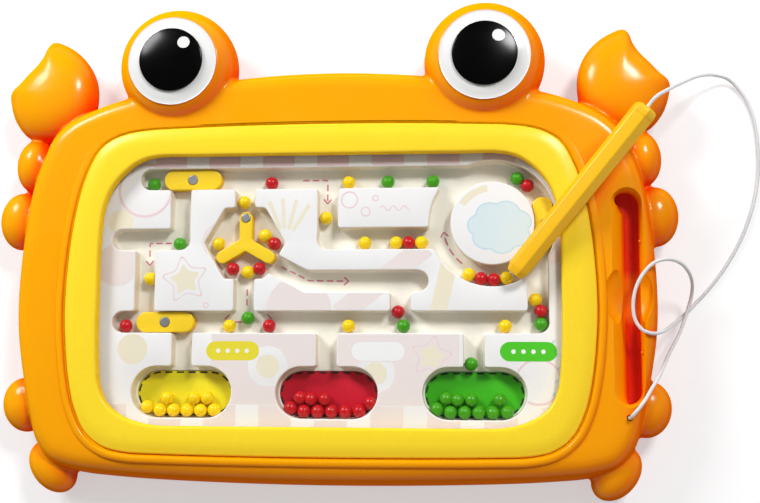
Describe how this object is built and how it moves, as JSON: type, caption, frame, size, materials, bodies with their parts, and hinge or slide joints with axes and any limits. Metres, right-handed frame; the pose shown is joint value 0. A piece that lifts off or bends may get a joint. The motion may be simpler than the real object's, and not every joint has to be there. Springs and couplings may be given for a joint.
{
  "type": "magnetic maze board",
  "caption": "Crab-shaped moulded case with a clear window over a maze tray, loose coloured balls, magnetic sliding gates, a star-shaped rotor and a tethered magnetic pen.",
  "frame": {"origin": "middle of the case's base, under the middle of its outline", "axes": "+X along the board's length towards the pen store, +Y towards the eyes, +Z out of the window"},
  "size_m": [0.3593, 0.2269, 0.0507],
  "materials": {
    "case_orange": "semi-gloss moulded",
    "bezel_yellow": "semi-gloss moulded",
    "window_clear": "clear, polished",
    "tray_white": "satin moulded",
    "floor_yellow": "satin",
    "floor_red": "satin",
    "floor_green": "satin",
    "gate_yellow": "satin moulded",
    "steel": "dull",
    "eye_white": "gloss",
    "eye_black": "gloss",
    "pen_yellow": "satin moulded",
    "magnet_grey": "dull",
    "tether_nylon": "translucent",
    "ball_red": "gloss",
    "ball_green": "gloss",
    "ball_yellow": "gloss"
  },
  "bodies": {
    "case": {"front_housing": "case_orange", "rear_cover": "case_orange", "rear_screw_1": "steel", "rear_screw_2": "steel", "rear_screw_3": "steel", "rear_screw_4": "steel", "bezel": "bezel_yellow", "window": "window_clear", "maze_tray": "tray_white", "pocket_floor_yellow": "floor_yellow", "pocket_floor_red": "floor_red", "pocket_floor_green": "floor_green", "rotor_pivot_pin": "steel", "left_eye_white": "eye_white", "left_eye_pupil": "eye_black", "right_eye_white": "eye_white", "right_eye_pupil": "eye_black", "tether_cord": "tether_nylon", "tether_knot": "tether_nylon", "ball_heap_yellow": "ball_yellow", "ball_heap_red": "ball_red", "ball_heap_green": "ball_green"},
    "upper_gate": {"upper_slider": "gate_yellow", "upper_slider_slug": "steel"},
    "lower_gate": {"lower_slider": "gate_yellow", "lower_slider_slug": "steel"},
    "ring_gate": {"ring_slider": "gate_yellow", "ring_slider_slug": "steel"},
    "rotor": {"star_rotor": "gate_yellow", "star_rotor_slug": "steel", "ball_10_yellow": "ball_yellow", "ball_19_red": "ball_red", "ball_pair_rotor_low": "ball_yellow", "ball_pair_rotor_right": "ball_red"},
    "pen": {"pen_barrel": "pen_yellow", "pen_cap": "pen_yellow", "pen_magnet": "magnet_grey"},
    "ball_01": {"ball_01_green": "ball_green"},
    "ball_02": {"ball_02_red": "ball_red"},
    "ball_03": {"ball_03_yellow": "ball_yellow"},
    "ball_04": {"ball_04_green": "ball_green"},
    "ball_05": {"ball_05_green": "ball_green"},
    "ball_08": {"ball_08_yellow": "ball_yellow"},
    "ball_09": {"ball_09_green": "ball_green"},
    "ball_11": {"ball_11_yellow": "ball_yellow"},
    "ball_14": {"ball_14_yellow": "ball_yellow"},
    "ball_18": {"ball_18_yellow": "ball_yellow"},
    "ball_29": {"ball_29_yellow": "ball_yellow"},
    "ball_30": {"ball_30_red": "ball_red"},
    "ball_31": {"ball_31_green": "ball_green"},
    "ball_32": {"ball_32_yellow": "ball_yellow"},
    "ball_33": {"ball_33_red": "ball_red"},
    "ball_34": {"ball_34_green": "ball_green"},
    "ball_35": {"ball_35_yellow": "ball_yellow"},
    "ball_36": {"ball_36_red": "ball_red"},
    "ball_37": {"ball_37_green": "ball_green"},
    "ring_pair": {"ball_pair_ring": "ball_red"},
    "ring_four": {"ball_four_ring": "ball_red"},
    "upper_trio": {"ball_trio_upper": "ball_yellow"},
    "right_trio": {"ball_trio_right": "ball_green"}
  },
  "joints": [
    {"name": "upper_gate_slide", "type": "slide", "parent": "case", "child": "upper_gate", "axis": [1, 0, 0], "range_m": [0, 0.016]},
    {"name": "lower_gate_slide", "type": "slide", "parent": "case", "child": "lower_gate", "axis": [1, 0, 0], "range_m": [0, 0.012]},
    {"name": "ring_gate_turn", "type": "hinge", "parent": "case", "child": "ring_gate", "pos_m": [0.0752, 0.0104, 0.0168], "axis": [0, 0, 1], "range_deg": [-34, 6]},
    {"name": "rotor_turn", "type": "hinge", "parent": "case", "child": "rotor", "pos_m": [-0.0386, 0.0018, 0.0168], "axis": [0, 0, 1], "continuous": true},
    {"name": "pen_lift", "type": "slide", "parent": "case", "child": "pen", "axis": [-0.1007, -0.1243, 0.9871], "range_m": [0, 0.05]},
    {"name": "ball_01_roll", "type": "slide", "parent": "case", "child": "ball_01", "axis": [1, 0, 0], "range_m": [-0.0003, 0.002]},
    {"name": "ball_02_roll", "type": "slide", "parent": "case", "child": "ball_02", "axis": [1, 0, 0], "range_m": [-0.0035, 0.006]},
    {"name": "ball_03_roll", "type": "slide", "parent": "case", "child": "ball_03", "axis": [1, 0, 0], "range_m": [-0.008, 0.003]},
    {"name": "ball_04_roll", "type": "slide", "parent": "case", "child": "ball_04", "axis": [1, 0, 0], "range_m": [-0.005, 0.005]},
    {"name": "ball_05_roll", "type": "slide", "parent": "case", "child": "ball_05", "axis": [1, 0, 0], "range_m": [-0.006, 0.006]},
    {"name": "ball_08_roll", "type": "slide", "parent": "case", "child": "ball_08", "axis": [0, 1, 0], "range_m": [0, 0.0015]},
    {"name": "ball_09_roll", "type": "slide", "parent": "case", "child": "ball_09", "axis": [1, 0, 0], "range_m": [-0.012, 0.002]},
    {"name": "ball_11_roll", "type": "slide", "parent": "case", "child": "ball_11", "axis": [0, 1, 0], "range_m": [-0.008, 0.006]},
    {"name": "ball_14_roll", "type": "slide", "parent": "case", "child": "ball_14", "axis": [1, 0, 0], "range_m": [-0.004, 0.0015]},
    {"name": "ball_18_roll", "type": "slide", "parent": "case", "child": "ball_18", "axis": [0, 1, 0], "range_m": [-0.009, 0.006]},
    {"name": "ball_29_roll", "type": "slide", "parent": "case", "child": "ball_29", "axis": [1, 0, 0], "range_m": [-0.008, 0.008]},
    {"name": "ball_30_roll", "type": "slide", "parent": "case", "child": "ball_30", "axis": [0, 1, 0], "range_m": [0, 0.008]},
    {"name": "ball_31_roll", "type": "slide", "parent": "case", "child": "ball_31", "axis": [1, 0, 0], "range_m": [-0.006, 0.01]},
    {"name": "ball_32_roll", "type": "slide", "parent": "case", "child": "ball_32", "axis": [1, 0, 0], "range_m": [-0.008, 0.008]},
    {"name": "ball_33_roll", "type": "slide", "parent": "case", "child": "ball_33", "axis": [1, 0, 0], "range_m": [-0.002, 0.01]},
    {"name": "ball_34_roll", "type": "slide", "parent": "case", "child": "ball_34", "axis": [0, 1, 0], "range_m": [0, 0.008]},
    {"name": "ball_35_roll", "type": "slide", "parent": "case", "child": "ball_35", "axis": [1, 0, 0], "range_m": [-0.0005, 0.0015]},
    {"name": "ball_36_roll", "type": "slide", "parent": "case", "child": "ball_36", "axis": [1, 0, 0], "range_m": [-0.0003, 0.002]},
    {"name": "ball_37_roll", "type": "slide", "parent": "case", "child": "ball_37", "axis": [0, 1, 0], "range_m": [0, 0.008]},
    {"name": "ring_pair_roll", "type": "hinge", "parent": "case", "child": "ring_pair", "pos_m": [0.0752, 0.0104, 0.0198], "axis": [0, 0, 1], "range_deg": [-2, 20]},
    {"name": "ring_four_roll", "type": "hinge", "parent": "case", "child": "ring_four", "pos_m": [0.0752, 0.0104, 0.0198], "axis": [0, 0, 1], "range_deg": [-30, 1]},
    {"name": "upper_trio_roll", "type": "slide", "parent": "case", "child": "upper_trio", "axis": [1, 0, 0], "range_m": [-0.004, 0.004]},
    {"name": "right_trio_roll", "type": "slide", "parent": "case", "child": "right_trio", "axis": [0, 1, 0], "range_m": [0, 0.005]}
  ]
}
